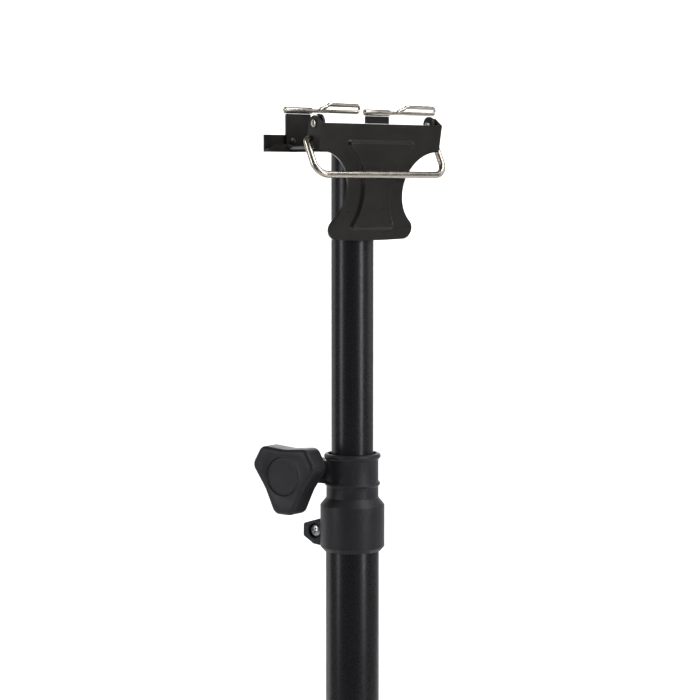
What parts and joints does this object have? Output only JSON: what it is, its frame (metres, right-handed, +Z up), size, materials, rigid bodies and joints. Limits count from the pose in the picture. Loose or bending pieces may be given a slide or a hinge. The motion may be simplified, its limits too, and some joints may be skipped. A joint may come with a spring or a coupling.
{
  "type": "c stand",
  "caption": "Telescoping black c stand on swivelling tripod legs, with a split clamp collar and knob, and a draw-latch head with a wire bail, a J-rail and wire cranks.",
  "frame": {"origin": "the column's axis at the floor, on the flat face under the column's end cap", "axes": "+Z up along the column, -Y the side that the latch lever faces, +X the stand's right seen from there"},
  "size_m": [0.7034, 0.6092, 0.8691],
  "materials": {
    "black_paint": "satin",
    "black_gloss": "semi-gloss",
    "black_nylon": "fine moulded grain",
    "white_nylon": "smooth",
    "nickel": "polished nickel plate",
    "zinc": "zinc plate",
    "rubber": "matte"
  },
  "bodies": {
    "base": {"column_tube": "black_paint", "column_end_cap": "black_nylon", "leg_hub_a": "black_paint", "leg_tube_a": "black_paint", "leg_foot_a": "rubber", "leg_screw_a": "zinc", "stop_ring_low": "black_paint", "stop_ring_high": "black_paint", "stop_screw_low": "zinc", "stop_screw_high": "zinc", "collar_body": "black_nylon", "friction_sleeve": "white_nylon", "lower_screw": "zinc", "lower_nut": "zinc", "clamp_nut": "zinc"},
    "swivel_leg_b": {"leg_hub_b": "black_paint", "leg_tube_b": "black_paint", "leg_foot_b": "rubber", "leg_screw_b": "zinc"},
    "swivel_leg_c": {"leg_hub_c": "black_paint", "leg_tube_c": "black_paint", "leg_foot_c": "rubber", "leg_screw_c": "zinc"},
    "clamp_washer": {"clamp_washer": "zinc"},
    "knob": {"knob_body": "black_nylon", "knob_cap": "black_nylon", "clamp_bolt": "zinc"},
    "riser_slider": {"riser_guide": "white_nylon"},
    "riser_head": {"riser_tube": "black_paint", "riser_plug": "black_nylon", "head_bolt": "zinc", "head_washer": "zinc", "saddle": "black_gloss", "rear_rail": "black_gloss", "post_left": "black_gloss", "post_right": "black_gloss", "post_rivet_left_inner": "black_gloss", "post_rivet_left_outer": "black_gloss", "post_rivet_right_inner": "black_gloss", "post_rivet_right_outer": "black_gloss", "barrel_left": "nickel", "barrel_right": "nickel", "lever_pin_left": "nickel", "lever_pin_right": "nickel"},
    "lever": {"lever_plate": "black_gloss"},
    "bail": {"pull_bail": "nickel"},
    "crank_left": {"crank_left": "nickel"},
    "crank_right": {"crank_right": "nickel"}
  },
  "joints": [
    {"name": "leg_b_swivel", "type": "hinge", "parent": "base", "child": "swivel_leg_b", "pos_m": [0, 0, 0.134], "axis": [0, 0, 1], "range_deg": [-96, 0]},
    {"name": "leg_c_swivel", "type": "hinge", "parent": "base", "child": "swivel_leg_c", "pos_m": [0, 0, 0.1025], "axis": [0, 0, 1], "range_deg": [0, 96]},
    {"name": "knob_travel", "type": "slide", "parent": "base", "child": "clamp_washer", "axis": [-0.9563, -0.2924, 0], "range_m": [0, 0.002]},
    {"name": "knob_turn", "type": "hinge", "parent": "clamp_washer", "child": "knob", "pos_m": [-0.00877, 0.02869, 0.6074], "axis": [-0.9563, -0.2924, 0], "range_deg": [0, 720]},
    {"name": "riser_slide", "type": "slide", "parent": "base", "child": "riser_slider", "axis": [0, 0, 1], "range_m": [-0.13, 0.2]},
    {"name": "riser_turn", "type": "hinge", "parent": "riser_slider", "child": "riser_head", "pos_m": [0, 0, 0.4], "axis": [0, 0, 1], "continuous": true},
    {"name": "lever_hinge", "type": "hinge", "parent": "riser_head", "child": "lever", "pos_m": [0, -0.0257, 0.853], "axis": [-1, 0, 0], "range_deg": [0, 95]},
    {"name": "bail_hinge", "type": "hinge", "parent": "lever", "child": "bail", "pos_m": [0, -0.02154, 0.84239], "axis": [-1, 0, 0], "range_deg": [0, 120]},
    {"name": "crank_left_hinge", "type": "hinge", "parent": "riser_head", "child": "crank_left", "pos_m": [-0.03525, 0.01645, 0.8632], "axis": [1, 0, 0], "range_deg": [-90, 90]},
    {"name": "crank_right_hinge", "type": "hinge", "parent": "riser_head", "child": "crank_right", "pos_m": [0.03525, 0.01645, 0.8632], "axis": [1, 0, 0], "range_deg": [-90, 90]}
  ],
  "couplings": [
    {"joint": "knob_travel", "follows": "knob_turn", "m_per_rad": 0.00015915}
  ]
}
